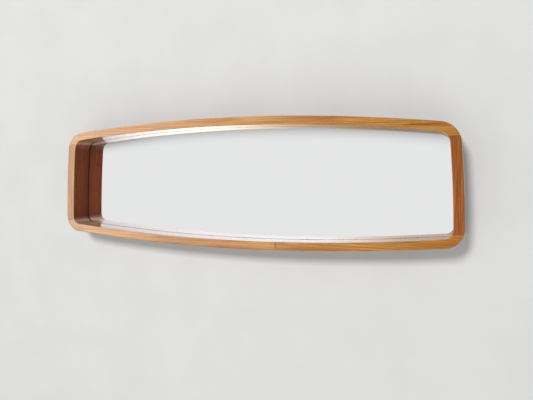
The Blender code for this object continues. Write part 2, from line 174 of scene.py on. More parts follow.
CORNERS = (
    (Vector((-TOP_HALF_LENGTH, CORNER_HEIGHT)), TOP_CORNER_RADIUS),
    (Vector((TOP_HALF_LENGTH, CORNER_HEIGHT)), TOP_CORNER_RADIUS),
    (Vector((BOTTOM_HALF_LENGTH, -CORNER_HEIGHT)), BOTTOM_CORNER_RADIUS),
    (Vector((-BOTTOM_HALF_LENGTH, -CORNER_HEIGHT)), BOTTOM_CORNER_RADIUS),
)
SIDE_RISES = {"top": TOP_RISE, "right": END_RISE, "bottom": BOTTOM_RISE, "left": END_RISE}


# ---------------------------------------------------------------- outline of the frame


def side_circles():
    """Centre and radius of the shallow arc of each side, on the outer face of the frame."""
    circles = {}
    for index, (side, rise) in enumerate(SIDE_RISES.items()):
        start = CORNERS[index][0]
        end = CORNERS[(index + 1) % len(CORNERS)][0]
        chord = end - start
        radius = ((chord.length / 2) ** 2 + rise**2) / (2 * rise)
        outward = Vector((-chord.y, chord.x)).normalized()
        circles[side] = ((start + end) / 2 + outward * (rise - radius), radius)
    return circles


SIDE_CIRCLES = side_circles()


def circle_crossing(first, second, near):
    """The crossing of two circles, each a centre and a radius, that is closest to a point."""
    between = second[0] - first[0]
    along = (first[1] ** 2 - second[1] ** 2 + between.length_squared) / (2 * between.length)
    across = math.sqrt(first[1] ** 2 - along**2)
    direction = between.normalized()
    sideways = Vector((-direction.y, direction.x)) * across
    foot = first[0] + direction * along
    return min(foot + sideways, foot - sideways, key=lambda point: (point - near).length)


def arc(centre, start, end, steps):
    """Points on the short arc from start to end, without the end itself."""
    radius = (start - centre).length
    begin = math.atan2(start.y - centre.y, start.x - centre.x)
    finish = math.atan2(end.y - centre.y, end.x - centre.x)
    turn = (finish - begin + math.pi) % (2 * math.pi) - math.pi
    angles = [begin + turn * step / steps for step in range(steps)]
    return [centre + Vector((math.cos(angle), math.sin(angle))) * radius for angle in angles]


def frame_outline(rail_inset, stile_inset):
    """Closed outline, clockwise seen from the front, set in from the outer face of the wood."""
    insets = {"top": rail_inset, "right": stile_inset, "bottom": rail_inset, "left": stile_inset}
    sides = [(centre, radius - insets[side]) for side, (centre, radius) in SIDE_CIRCLES.items()]
    steps = (RAIL_STEPS, STILE_STEPS, RAIL_STEPS, STILE_STEPS)
    rounds = []
    for index, (corner, outer_radius) in enumerate(CORNERS):
        radius = outer_radius - (rail_inset + stile_inset) / 2
        before, after = sides[index - 1], sides[index]
        centre = circle_crossing(
            (before[0], before[1] - radius), (after[0], after[1] - radius), corner
        )
        touches = [side[0] + (centre - side[0]).normalized() * side[1] for side in (before, after)]
        rounds.append((centre, *touches))
    points = []
    for index, (centre, start, end) in enumerate(rounds):
        next_start = rounds[(index + 1) % len(rounds)][1]
        points += arc(centre, start, end, CORNER_STEPS)
        points += arc(sides[index][0], end, next_start, steps[index])
    return points


# ---------------------------------------------------------------- shapes


def fan(centre, radius, start_degrees, end_degrees, steps):
    """Points on an arc given by its angles, both ends included."""
    points = []
    for step in range(steps + 1):
        angle = math.radians(start_degrees + (end_degrees - start_degrees) * step / steps)
        spoke = Vector((math.cos(angle), math.sin(angle)))
        points.append(Vector(centre) + spoke * radius)
    return points


def as_mesh(name, shape):
    bmesh.ops.recalc_face_normals(shape, faces=shape.faces)
    mesh = bpy.data.meshes.new(name)
    shape.to_mesh(mesh)
    shape.free()
    mesh.shade_smooth()
    return mesh


def add_piece(name, mesh, body, node, location=(0, 0, 0), rotation=(0, 0, 0)):
    """Adds a piece that rides on a body and stands for a CAD node, with its finish."""
    piece = bpy.data.objects.new(name, mesh)
    piece.location = location
    piece.rotation_euler = rotation
    bpy.context.scene.collection.objects.link(piece)
    bpy.context.view_layer.update()
    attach(piece, body)
    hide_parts(node)
    return piece


def ease_edges(thing, width, segments=2, degrees=35):
    """Rounds a thing's sharp edges."""
    bevel = thing.modifiers.new("Eased edges", "BEVEL")
    bevel.width = width
    bevel.segments = segments
    bevel.limit_method = "ANGLE"
    bevel.angle_limit = math.radians(degrees)
    flatten = thing.modifiers.new("Flat faces stay flat", "WEIGHTED_NORMAL")
    flatten.weight = 100
    flatten.keep_sharp = True


def ease_node(name, width):
    """Rounds the sharp edges of a CAD node, whose triangles come apart from each other."""
    thing = frame["nodes"][name]
    normals = thing.data.attributes.get("custom_normal")
    if normals:
        thing.data.attributes.remove(normals)
    thing.data.shade_smooth()
    weld = thing.modifiers.new("Join triangles", "WELD")
    weld.merge_threshold = 0.01 * MM
    merge = thing.modifiers.new("Merge flat faces", "DECIMATE")
    merge.decimate_type = "DISSOLVE"
    merge.angle_limit = math.radians(1)
    ease_edges(thing, width)


def body_of(node):
    """The body that a CAD node belongs to."""
    bodies = frame["record"]["behaviour"]["bodies"]
    return next(body for body, nodes in bodies.items() if node in nodes)


def nodes_starting(*starts):
    return [name for name in frame["nodes"] if name.startswith(starts)]


# ---------------------------------------------------------------- boards


def frame_section():
    """Section of the frame as (inset on rails, inset on stiles, Y), once round."""
    outer = fan((OUTER_EASE, OUTER_EASE), OUTER_EASE, 180, 270, EASED_STEPS)
    inner = fan((-INNER_EASE, INNER_EASE), INNER_EASE, 270, 360, EASED_STEPS)
    rail_back, stile_back = RAIL_WALL - REBATE_WIDTH, STILE_WALL - REBATE_WIDTH
    return [
        *[(point.x, point.x, FRONT_Y + point.y) for point in outer],
        *[(RAIL_WALL + point.x, STILE_WALL + point.x, FRONT_Y + point.y) for point in inner],
        (RAIL_WALL, STILE_WALL, SHOULDER_Y),
        (rail_back, stile_back, SHOULDER_Y),
        (rail_back, stile_back, BACK_Y),
        (BACK_EASE, BACK_EASE, BACK_Y),
        (0.0, 0.0, BACK_Y - BACK_EASE),
    ]


def frame_ring():
    """The whole frame as one ring of quads between the lengthwise lines of its section."""
    shape = bmesh.new()
    rows = [
        [shape.verts.new((place.x, depth, place.y)) for place in frame_outline(rail, stile)]
        for rail, stile, depth in frame_section()
    ]
    for row, following in zip(rows, rows[1:] + rows[:1]):
        for index in range(len(row)):
            after = (index + 1) % len(row)
            shape.faces.new((row[index], row[after], following[after], following[index]))
    return shape


def cut_away(shape, height, direction):
    """Removes what lies on one side of a level plane, +1 above it or -1 below it."""
    geometry = [*shape.verts, *shape.edges, *shape.faces]
    bmesh.ops.bisect_plane(
        shape, geom=geometry, plane_co=(0, 0, height), plane_no=(0, 0, direction), clear_outer=True
    )
    rim = [edge for edge in shape.edges if edge.is_boundary]
    bmesh.ops.holes_fill(shape, edges=rim, sides=0)


def add_boards():
    """Two rails that wrap round the corners, and two stiles butted between them."""
    ring = frame_ring()
    half_gap = JOINT_GAP / 2
    for name, board in BOARDS.items():
        shape = ring.copy()
        if name == "top_rail":
            cut_away(shape, JOINT_HEIGHT + half_gap, -1)
        elif name == "bottom_rail":
            cut_away(shape, -JOINT_HEIGHT - half_gap, 1)
        else:
            cut_away(shape, JOINT_HEIGHT - half_gap, 1)
            cut_away(shape, half_gap - JOINT_HEIGHT, -1)
            hand = -1 if name == "left_stile" else 1
            other = [vert for vert in shape.verts if vert.co.x * hand < 0]
            bmesh.ops.delete(shape, geom=other, context="VERTS")
        mesh = as_mesh(name, shape)
        mesh.materials.append(board_wood(name, board))
        piece = add_piece(name + "_board", mesh, "frame", name)
        ease_edges(piece, SAWN_EDGE_EASE)
    ring.free()


# ---------------------------------------------------------------- turned pieces and hardware


def turned_shape(rows, steps):
    """A closed form round Z with a pole at each end. A row is its height and its radius,
    a number or a function of the turn in radians."""
    shape = bmesh.new()
    rings = []
    for height, radius in rows[1:-1]:
        ring = []
        for step in range(steps):
            turn = 2 * math.pi * step / steps
            reach = radius(turn) if callable(radius) else radius
            ring.append(shape.verts.new((reach * math.cos(turn), reach * math.sin(turn), height)))
        rings.append(ring)
    first = shape.verts.new((0, 0, rows[0][0]))
    last = shape.verts.new((0, 0, rows[-1][0]))
    for index in range(steps):
        after = (index + 1) % steps
        shape.faces.new((first, rings[0][index], rings[0][after]))
        shape.faces.new((last, rings[-1][after], rings[-1][index]))
        for ring, following in zip(rings, rings[1:]):
            shape.faces.new((ring[index], following[index], following[after], ring[after]))
    return shape


def wedge(length, width, depth, height):
    """A tapered cutter that points down, its top at a height."""
    shape = bmesh.new()
    bmesh.ops.create_cube(shape, size=1.0)
    for vert in shape.verts:
        narrowing = 1.0 if vert.co.z > 0 else RECESS_NARROWING
        x, y = vert.co.x * length * narrowing, vert.co.y * width
        vert.co = Vector((x, y, height + (vert.co.z - 0.5) * depth))
    return as_mesh("wedge", shape)


def carved(mesh, cutters):
    """The mesh with each cutter, a mesh and its turn about Z, taken out of it."""
    thing = bpy.data.objects.new("Carved", mesh)
    bpy.context.scene.collection.objects.link(thing)
    tools = []
    for cutter, turn in cutters:
        tool = bpy.data.objects.new("Cutter", cutter)
        tool.rotation_euler = (0, 0, turn)
        bpy.context.scene.collection.objects.link(tool)
        cut = thing.modifiers.new("Cut", "BOOLEAN")
        cut.operation = "DIFFERENCE"
        cut.solver = "EXACT"
        cut.object = tool
        tools.append(tool)
    bpy.context.view_layer.update()
    evaluated = thing.evaluated_get(bpy.context.evaluated_depsgraph_get())
    result = bpy.data.meshes.new_from_object(evaluated)
    for used in (thing, *tools):
        bpy.data.objects.remove(used)
    return result


def shank_row(drop, length):
    """Row of a screw's shank: a plain neck, then a thread that winds down to the point."""
    cut_in = min(1.0, max(0.0, (drop - PLAIN_SHANK) / THREAD_PITCH))
    taper = min(1.0, (length - drop) / POINT_LENGTH)

    def radius(turn):
        phase = (drop / THREAD_PITCH + turn / (2 * math.pi)) % 1.0
        ridge = max(0.0, 1 - abs(phase - 0.5) * THREAD_SLOPE)
        threaded = CORE_RADIUS + (THREAD_RADIUS - CORE_RADIUS) * ridge
        return taper * (THREAD_RADIUS + (threaded - THREAD_RADIUS) * cut_in)

    return (-drop, radius)


def screw_mesh(length):
    """Pan head with a cross recess, and a threaded shank below it."""
    turns = [math.radians(90) * step / QUARTER_STEPS for step in range(QUARTER_STEPS + 1)]
    heights = [HEAD_HEIGHT * math.cos(turn) ** HEAD_FULLNESS for turn in turns]
    rows = [(height, HEAD_RADIUS * math.sin(turn)) for height, turn in zip(heights, turns)]
    rows.append((0.0, THREAD_RADIUS))
    count = int(length / THREAD_PITCH * THREAD_STEPS)
    rows += [shank_row(length * step / count, length) for step in range(1, count + 1)]
    mesh = as_mesh("screw", turned_shape(rows, HALF_STEPS))
    cutter = wedge(RECESS_LENGTH, RECESS_WIDTH, 2 * RECESS_DEPTH, HEAD_HEIGHT + RECESS_DEPTH)
    return carved(mesh, [(cutter, 0.0), (cutter, math.radians(90))])


FACING_BACK = (math.radians(-90), 0, 0)


def add_screws(finish):
    names = nodes_starting("button_screw_", "strap_screw_")
    low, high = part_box(names[0])
    mesh = screw_mesh(high.y - low.y - HEAD_HEIGHT)
    mesh.shade_smooth()
    mesh.set_sharp_from_angle(angle=math.radians(SCREW_CREASE))
    mesh.materials.clear()
    mesh.materials.append(finish)
    for index, name in enumerate(names):
        low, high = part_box(name)
        place = ((low.x + high.x) / 2, high.y - HEAD_HEIGHT, (low.z + high.z) / 2)
        driven = Matrix.Rotation(index * TURN_BETWEEN_SCREWS, 3, "Z")
        facing = (Matrix.Rotation(FACING_BACK[0], 3, "X") @ driven).to_euler()
        piece = add_piece(name + "_thread", mesh, body_of(name), name, place, facing)


def plate_shape(loops, thickness):
    """A flat plate in XZ between closed loops of points, its thickness towards +Y."""
    shape = bmesh.new()
    edges = []
    for loop in loops:
        verts = [shape.verts.new((point.x, 0, point.y)) for point in loop]
        edges += [shape.edges.new(pair) for pair in zip(verts, verts[1:] + verts[:1])]
    bmesh.ops.triangle_fill(shape, edges=edges, use_beauty=True)
    front = list(shape.faces)
    result = bmesh.ops.extrude_face_region(shape, geom=front, use_keep_orig=True)
    raised = [item for item in result["geom"] if isinstance(item, bmesh.types.BMVert)]
    bmesh.ops.translate(shape, verts=raised, vec=(0, thickness, 0))
    return shape


def button_outline():
    """Tapered tab: a round about the pivot, a smaller round at the tip, and their tangents."""
    lean = math.degrees(math.asin((BUTTON_PIVOT_RADIUS - BUTTON_TIP_RADIUS) / BUTTON_LENGTH))
    tip = fan((0, BUTTON_LENGTH), BUTTON_TIP_RADIUS, lean, 180 - lean, HALF_STEPS)
    pivot = fan((0, 0), BUTTON_PIVOT_RADIUS, 180 - lean, 360 + lean, HALF_STEPS)
    return tip + pivot


def add_turn_buttons(finish):
    """Each button points from its screw towards the middle of its side's arc."""
    low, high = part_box("turn_button_top_middle")
    bore = fan((0, 0), THREAD_RADIUS + SCREW_CLEARANCE, 0, 360, ROUND_STEPS)[:-1]
    mesh = as_mesh("turn_button", plate_shape([button_outline(), bore], high.y - low.y))
    mesh.materials.append(finish)
    for name in nodes_starting("turn_button_"):
        label = name.removeprefix("turn_button_")
        corner, far_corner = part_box("button_screw_" + label)
        pivot = (corner + far_corner) / 2
        inwards = SIDE_CIRCLES[label.split("_")[0]][0] - Vector((pivot.x, pivot.z))
        lean = math.radians(90) - math.atan2(inwards.y, inwards.x)
        place = (pivot.x, low.y, pivot.z)
        piece = add_piece(name + "_tab", mesh, body_of(name), name, place, (0, lean, 0))
        ease_edges(piece, PRESSED_EDGE_EASE, segments=3)


def ring_path():
    """Centre line of the D-ring's wire: a straight bar, two small rounds and a large arc."""
    bar = RING_HALF_WIDTH - RING_CORNER_RADIUS
    right = fan((bar, RING_CORNER_RADIUS), RING_CORNER_RADIUS, -90, 0, QUARTER_STEPS)
    over = fan((0, RING_ARC_HEIGHT), RING_HALF_WIDTH, 0, 180, HALF_STEPS)
    left = fan((-bar, RING_CORNER_RADIUS), RING_CORNER_RADIUS, 180, 270, QUARTER_STEPS)
    return right + over + left


def closed_tube(path, radius, steps):
    """A round wire along a closed path in XZ."""
    shape = bmesh.new()
    rings = []
    for index, point in enumerate(path):
        tangent = (path[(index + 1) % len(path)] - path[index - 1]).normalized()
        sideways = Vector((tangent.y, 0, -tangent.x))
        centre = Vector((point.x, 0, point.y))
        ring = []
        for step in range(steps):
            angle = 2 * math.pi * step / steps
            spoke = sideways * math.cos(angle) + Vector((0, 1, 0)) * math.sin(angle)
            ring.append(shape.verts.new(centre + spoke * radius))
        rings.append(ring)
    for ring, following in zip(rings, rings[1:] + rings[:1]):
        for step in range(steps):
            after = (step + 1) % steps
            shape.faces.new((ring[step], ring[after], following[after], following[step]))
    return shape


def add_rings(finish):
    mesh = as_mesh("d_ring", closed_tube(ring_path(), RING_WIRE_RADIUS, HALF_STEPS))
    mesh.materials.append(finish)
    for name in nodes_starting("d_ring_"):
        low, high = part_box(name)
        place = ((low.x + high.x) / 2, (low.y + high.y) / 2, low.z + RING_WIRE_RADIUS)
        piece = add_piece(name + "_wire", mesh, body_of(name), name, place)


def add_bumpers(finish):
    """Moulded rubber bumpers with a shallow groove in the face that rests on the wall."""
    low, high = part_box("bumper_top_left")
    height = high.y - low.y
    edge = fan((BUMPER_FACE_RADIUS, height - BUMPER_ROUND), BUMPER_ROUND, 90, 0, QUARTER_STEPS)
    groove = (
        (0.0, GROOVE_INNER_RADIUS),
        (GROOVE_DEPTH, GROOVE_INNER_RADIUS + GROOVE_SLOPE),
        (GROOVE_DEPTH, GROOVE_OUTER_RADIUS - GROOVE_SLOPE),
        (0.0, GROOVE_OUTER_RADIUS),
    )
    rows = [(height, 0.0)]
    rows += [(height - depth, radius) for depth, radius in groove]
    rows += [(point.y, point.x) for point in edge]
    rows += [(BUMPER_FOOT_EASE, BUMPER_RADIUS), (0.0, BUMPER_RADIUS - BUMPER_FOOT_EASE), (0.0, 0.0)]
    mesh = as_mesh("bumper", turned_shape(rows, ROUND_STEPS))
    mesh.set_sharp_from_angle(angle=math.radians(BUMPER_CREASE))
    mesh.materials.append(finish)
    for name in nodes_starting("bumper_"):
        low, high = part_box(name)
        place = ((low.x + high.x) / 2, low.y, (low.z + high.z) / 2)
        piece = add_piece(name + "_moulding", mesh, body_of(name), name, place, FACING_BACK)


def add_dowels(finish):
    """Fluted dowels with chamfered ends."""
    low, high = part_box("dowel_top_left_front")
    half = (high.z - low.z) / 2

    def fluted(turn):
        return DOWEL_RADIUS - FLUTE_DEPTH * max(0.0, math.cos(FLUTE_COUNT * turn))

    tip = DOWEL_RADIUS - DOWEL_CHAMFER
    body = [(half - DOWEL_CHAMFER, fluted), (DOWEL_CHAMFER - half, fluted)]
    rows = [(half, 0.0), (half, tip), *body, (-half, tip), (-half, 0.0)]
    mesh = as_mesh("dowel", turned_shape(rows, 2 * ROUND_STEPS))
    mesh.set_sharp_from_angle(angle=math.radians(DOWEL_CREASE))
    mesh.materials.append(finish)
    for name in nodes_starting("dowel_"):
        low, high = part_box(name)
        piece = add_piece(name + "_peg", mesh, body_of(name), name, (low + high) / 2)


# ---------------------------------------------------------------- node trees


class Graph:
    """A node tree, built by calls that take values or sockets and return sockets."""

    def __init__(self, tree):
        self.tree = tree
        tree.nodes.clear()

    def node(self, kind, inputs=None, **settings):
        made = self.tree.nodes.new("ShaderNode" + kind)
        for key, value in settings.items():
            setattr(made, key, value)
        for key, value in (inputs or {}).items():
            if isinstance(value, bpy.types.NodeSocket):
                self.tree.links.new(value, made.inputs[key])
            else:
                made.inputs[key].default_value = value
        return made

    def math(self, operation, first, second=0.0, third=0.0):
        inputs = {0: first, 1: second, 2: third}
        return self.node("Math", inputs, operation=operation).outputs[0]

    def product(self, *factors):
        result = factors[0]
        for factor in factors[1:]:
            result = self.math("MULTIPLY", result, factor)
        return result

    def length(self, first, second):
        """Length of the vector whose two parts are given."""
        squares = self.math("MULTIPLY", first, first)
        return self.math("SQRT", self.math("MULTIPLY_ADD", second, second, squares))

    def noise(self, vector, size, detail=2.0, roughness=0.5, shift=(0, 0, 0)):
        """Noise whose patches have about the given size, one length or one for each axis."""
        sizes = size if isinstance(size, tuple) else (size,) * 3
        scale = tuple(1 / length for length in sizes)
        inputs = {"Vector": vector, "Scale": scale, "Location": shift}
        place = self.node("Mapping", inputs).outputs[0]
        inputs = {"Vector": place, "Scale": 1.0, "Detail": detail, "Roughness": roughness}
        return self.node("TexNoise", inputs).outputs["Fac"]

    def cells(self, vector, size, output="Distance"):
        inputs = {"Vector": vector, "Scale": 1 / size}
        return self.node("TexVoronoi", inputs).outputs[output]

    def remap(self, value, low, high, start=0.0, end=1.0):
        """Smooth change from start to end as value goes from low to high."""
        inputs = {"Value": value, "From Min": low, "From Max": high, "To Min": start, "To Max": end}
        return self.node("MapRange", inputs, interpolation_type="SMOOTHSTEP").outputs[0]

    def mix(self, factor, first, second, blend="MIX"):
        inputs = {"Fac": factor, "Color1": first, "Color2": second}
        return self.node("MixRGB", inputs, blend_type=blend).outputs[0]

    def choose(self, switch, value_off, value_on):
        """value_on where switch is 1, and value_off where it is 0."""
        change = self.math("SUBTRACT", value_on, value_off)
        return self.math("MULTIPLY_ADD", switch, change, value_off)

    def bump(self, height, distance, strength=1.0):
        inputs = {"Height": height, "Distance": distance, "Strength": strength}
        return self.node("Bump", inputs).outputs[0]

    def place(self):
        """Place on the object, in metres, and its X, Y and Z."""
        vector = self.node("TexCoord").outputs["Object"]
        return vector, self.node("SeparateXYZ", {0: vector}).outputs

    def inset(self, side, x, z):
        """How far a place lies inside the outer arc of a side of the frame."""
        centre, radius = SIDE_CIRCLES[side]
        away = self.math("SUBTRACT", x, centre.x)
        rise = self.math("SUBTRACT", z, centre.y)
        return self.math("SUBTRACT", radius, self.length(away, rise))


def colour(red, green, blue):
    return (red, green, blue, 1.0)


def new_material(name):
    material = bpy.data.materials.new(name)
    material.use_nodes = True
    return material, Graph(material.node_tree)


def finish_material(graph, **inputs):
    """Ends a material in one Principled shader. Input names have _ for spaces."""
    inputs = {key.replace("_", " "): value for key, value in inputs.items()}
    shader = graph.node("BsdfPrincipled", inputs)
    graph.node("OutputMaterial", {"Surface": shader.outputs[0]})


# ---------------------------------------------------------------- wood

# A mark is an ellipse of another tint, placed and sized along and across the grain. Its
# edge is ragged, and fades out between two multiples of its size.
Mark = namedtuple("Mark", "tint along across length width strength")
MARK_RAGGEDNESS = 0.8
MARK_EDGE = (0.7, 1.5)

# A board's shift moves it through the noise, cream is how far its front is paled towards
# cream, and gloss is the weight of its coat.
Board = namedtuple("Board", "side grain tones shift cream gloss marks")

# Tones run from pale to dark.
RAIL_TONES = (colour(0.71, 0.355, 0.083), colour(0.58, 0.245, 0.041), colour(0.40, 0.125, 0.016))
LEFT_TONES = (colour(0.48, 0.099, 0.013), colour(0.39, 0.065, 0.008), colour(0.26, 0.036, 0.005))
RIGHT_TONES = (colour(0.49, 0.128, 0.016), colour(0.39, 0.086, 0.010), colour(0.26, 0.048, 0.006))
GOLD = colour(0.70, 0.36, 0.08)
ORANGE = colour(0.50, 0.17, 0.025)
BROWN = colour(0.20, 0.055, 0.010)
CREAM = colour(0.53, 0.285, 0.10)
OCHRE = colour(0.42, 0.21, 0.045)
PORE = colour(0.09, 0.03, 0.012)

# What the wood throws back as light is nearly grey, so the pale wall keeps its colour.
BOUNCE = colour(0.14, 0.12, 0.11)

# Growth rings: the pith lies beside and behind the board.
RING_SPACING = 4.2 * MM
PITH_ASIDE = 310 * MM
PITH_BEHIND = 90 * MM
RING_DRIFT = 20 * MM
RING_DRIFT_SIZE = (420 * MM, 62 * MM, 62 * MM)
RING_WAVER = 2.2 * MM
RING_WAVER_SIZE = (90 * MM, 12 * MM, 12 * MM)

# Figures in the grain, as length along it and width across it.
PATCH = (260 * MM, 34 * MM)
BAND = (320 * MM, 8 * MM)
STREAK = (190 * MM, 3.4 * MM)
LINE = (75 * MM, 0.9 * MM)
FIBRE = (28 * MM, 0.42 * MM)
PORES = (9 * MM, 0.38 * MM)
RAGGED = (24 * MM, 3 * MM)

# Only a stile's front is paled towards cream, strongest along its inner edge.
PALE_FRONT_DEPTH = 1.5 * MM
PALE_FRONT_FADE = 0.7 * MM
PALE_FRONT_OUTER_SHARE = 0.75
PALE_FRONT_RAGGEDNESS = 3 * MM
PALE_FRONT_EDGE = (STILE_WALL - 10 * MM, STILE_WALL - 5 * MM)

BOARDS = {
    "top_rail": Board(
        side="top",
        grain="X",
        tones=RAIL_TONES,
        shift=(0, 0, 0),
        cream=0.0,
        gloss=1.0,
        marks=(
            Mark(GOLD, 458 * MM, 114 * MM, 36 * MM, 7 * MM, 0.3),
            Mark(BROWN, 412 * MM, 125 * MM, 38 * MM, 2 * MM, 0.6),
            Mark(BROWN, 462 * MM, 131 * MM, 30 * MM, 3.5 * MM, 0.4),
        ),
    ),
    "bottom_rail": Board(
        side="bottom",
        grain="X",
        tones=RAIL_TONES,
        shift=(7, 3, 1),
        cream=0.0,
        gloss=1.0,
        marks=(
            Mark(GOLD, 68 * MM, -141 * MM, 28 * MM, 6 * MM, 0.6),
            Mark(ORANGE, 106 * MM, -132 * MM, 10 * MM, 5 * MM, 0.8),
            Mark(BROWN, 95 * MM, -138 * MM, 2.2 * MM, 9 * MM, 0.6),
            Mark(OCHRE, -478 * MM, -118 * MM, 32 * MM, 14 * MM, 0.6),
        ),
    ),
    "left_stile": Board(
        side="left",
        grain="Z",
        tones=LEFT_TONES,
        shift=(2, 5, 4),
        cream=0.95,
        gloss=0.5,
        marks=(),
    ),
    "right_stile": Board(
        side="right",
        grain="Z",
        tones=RIGHT_TONES,
        shift=(5, 1, 8),
        cream=0.2,
        gloss=1.0,
        marks=(
            Mark(BROWN, 7 * MM, 487 * MM, 30 * MM, 3 * MM, 0.35),
            Mark(BROWN, 7 * MM, 487 * MM, 3.4 * MM, 2 * MM, 0.85),
            Mark(BROWN, -88 * MM, 488 * MM, 14 * MM, 3 * MM, 0.45),
        ),
    ),
}


def mark_mask(graph, mark, along, across, waver):
    """A mark's strength in its middle, and 0 outside it."""
    lengthwise = graph.math("DIVIDE", graph.math("SUBTRACT", along, mark.along), mark.length)
    crosswise = graph.math("DIVIDE", graph.math("SUBTRACT", across, mark.across), mark.width)
    reach = graph.length(lengthwise, crosswise)
    reach = graph.math("MULTIPLY_ADD", waver, MARK_RAGGEDNESS, reach)
    return graph.remap(reach, *MARK_EDGE, mark.strength, 0.0)


def growth_rings(graph, place, across, depth, shift):
    """Late wood of growth rings: long lines on the faces and curves on the ends."""
    drift = graph.noise(place, RING_DRIFT_SIZE, shift=shift)
    waver = graph.noise(place, RING_WAVER_SIZE, shift=shift)
    pith_across = graph.math("ADD", across, PITH_ASIDE)
    pith_depth = graph.math("SUBTRACT", depth, PITH_BEHIND)
    radius = graph.length(pith_across, pith_depth)
    radius = graph.math("MULTIPLY_ADD", drift, RING_DRIFT, radius)
    radius = graph.math("MULTIPLY_ADD", waver, RING_WAVER, radius)
    ring = graph.math("FRACT", graph.math("DIVIDE", radius, RING_SPACING))
    return graph.math("MULTIPLY", graph.remap(ring, 0.2, 0.9), graph.remap(ring, 1.0, 0.93))


def pale_front_share(graph, board, place, ragged):
    """How pale the front of a stile is, from its inner edge outwards."""
    x, y, z = place
    inset = graph.inset(board.side, x, z)
    inset = graph.math("MULTIPLY_ADD", ragged, PALE_FRONT_RAGGEDNESS, inset)
    share = graph.remap(inset, *PALE_FRONT_EDGE, board.cream * PALE_FRONT_OUTER_SHARE, board.cream)
    fading = FRONT_Y + PALE_FRONT_DEPTH
    return graph.math("MULTIPLY", share, graph.remap(y, fading, fading - PALE_FRONT_FADE))


def broad_figure(graph, tones, patch, band, streak, late_wood):
    """Colour of the wood between its tones, without its marks and fine grain."""
    pale, middle, dark = tones
    shade = graph.mix(graph.remap(patch, 0.36, 0.64), pale, middle)
    shade = graph.mix(graph.remap(band, 0.48, 0.68, 0.0, 0.35), shade, dark)
    shade = graph.mix(graph.remap(streak, 0.46, 0.68, 0.0, 0.65), shade, dark)
    shade = graph.mix(graph.remap(streak, 0.46, 0.30, 0.0, 0.7), shade, pale)
    return graph.mix(graph.math("MULTIPLY", late_wood, 0.45), shade, dark)


def fine_grain(graph, shade, line, fibre, pore):
    """The colour with dark lines, fibres and pores drawn in it."""
    shade = graph.mix(1.0, shade, graph.remap(line, 0.68, 0.40, 0.60, 1.04), "MULTIPLY")
    shade = graph.mix(1.0, shade, graph.remap(fibre, 0.2, 0.8, 0.80, 1.14), "MULTIPLY")
    return graph.mix(graph.math("MULTIPLY", pore, 0.5), shade, PORE)


def board_wood(name, board):
    """Solid wood under a clear gloss finish."""
    material, graph = new_material(name.replace("_", " ").capitalize() + " wood")
    _, (x, y, z) = graph.place()
    along, across = (x, z) if board.grain == "X" else (z, x)
    place = graph.node("CombineXYZ", {0: along, 1: across, 2: y}).outputs[0]

    def grain(size, detail=2.0, roughness=0.5):
        length, width = size
        return graph.noise(place, (length, width, width), detail, roughness, board.shift)

    late_wood = growth_rings(graph, place, across, y, board.shift)
    patch = grain(PATCH)
    band = grain(BAND, 1.0)
    streak = grain(STREAK, 3.0, 0.6)
    fibre = grain(FIBRE, 2.0, 0.6)
    pore = graph.remap(grain(PORES, 1.0), 0.62, 0.72)
    ragged = graph.math("SUBTRACT", grain(RAGGED), 0.5)

    shade = broad_figure(graph, board.tones, patch, band, streak, late_wood)
    for mark in board.marks:
        shade = graph.mix(mark_mask(graph, mark, along, across, ragged), shade, mark.tint)
    if board.cream:
        shade = graph.mix(pale_front_share(graph, board, (x, y, z), ragged), shade, CREAM)
    shade = fine_grain(graph, shade, grain(LINE), fibre, pore)
    lighting = graph.node("LightPath").outputs["Is Diffuse Ray"]
    shade = graph.mix(graph.math("MULTIPLY", lighting, 0.75), shade, BOUNCE)

    relief = graph.math("MULTIPLY_ADD", late_wood, 0.3, graph.math("MULTIPLY", pore, -1.0))
    finish_material(
        graph,
        Base_Color=shade,
        Roughness=graph.math("MULTIPLY_ADD", fibre, 0.16, 0.40),
        Specular_IOR_Level=0.25,
        Normal=graph.bump(relief, 0.08 * MM, 0.6),
        Coat_Weight=board.gloss,
        Coat_Roughness=graph.remap(patch, 0.3, 0.7, 0.09, 0.14),
        Coat_IOR=1.5,
        Coat_Normal=graph.bump(relief, 0.02 * MM, 0.25),
    )
    return material


BEECH = (colour(0.66, 0.42, 0.22), colour(0.50, 0.29, 0.13))
BEECH_FLECK = colour(0.28, 0.13, 0.05)


def dowel_wood():
    """Pale beech with short dark flecks, grain along the dowel."""
    material, graph = new_material("Dowel beech")
    place, _ = graph.place()
    streak = graph.noise(place, (1.2 * MM, 1.2 * MM, 30 * MM), 3.0)
    fleck = graph.remap(graph.noise(place, (0.3 * MM, 0.3 * MM, 2 * MM), 1.0), 0.6, 0.7)
    shade = graph.mix(graph.remap(streak, 0.35, 0.65), *BEECH)
    shade = graph.mix(graph.math("MULTIPLY", fleck, 0.6), shade, BEECH_FLECK)
    relief = graph.math("SUBTRACT", streak, fleck)
    finish_material(
        graph, Base_Color=shade, Roughness=0.62, Normal=graph.bump(relief, 0.05 * MM, 0.5)
    )
    return material


BIRCH = (colour(0.66, 0.47, 0.28), colour(0.50, 0.31, 0.16))
BIRCH_STREAK = colour(0.47, 0.29, 0.14)
BIRCH_FLECK = colour(0.30, 0.16, 0.07)
BIRCH_END_GRAIN = colour(0.34, 0.20, 0.10)
VENEERS = 5
FLAMES = 16.0


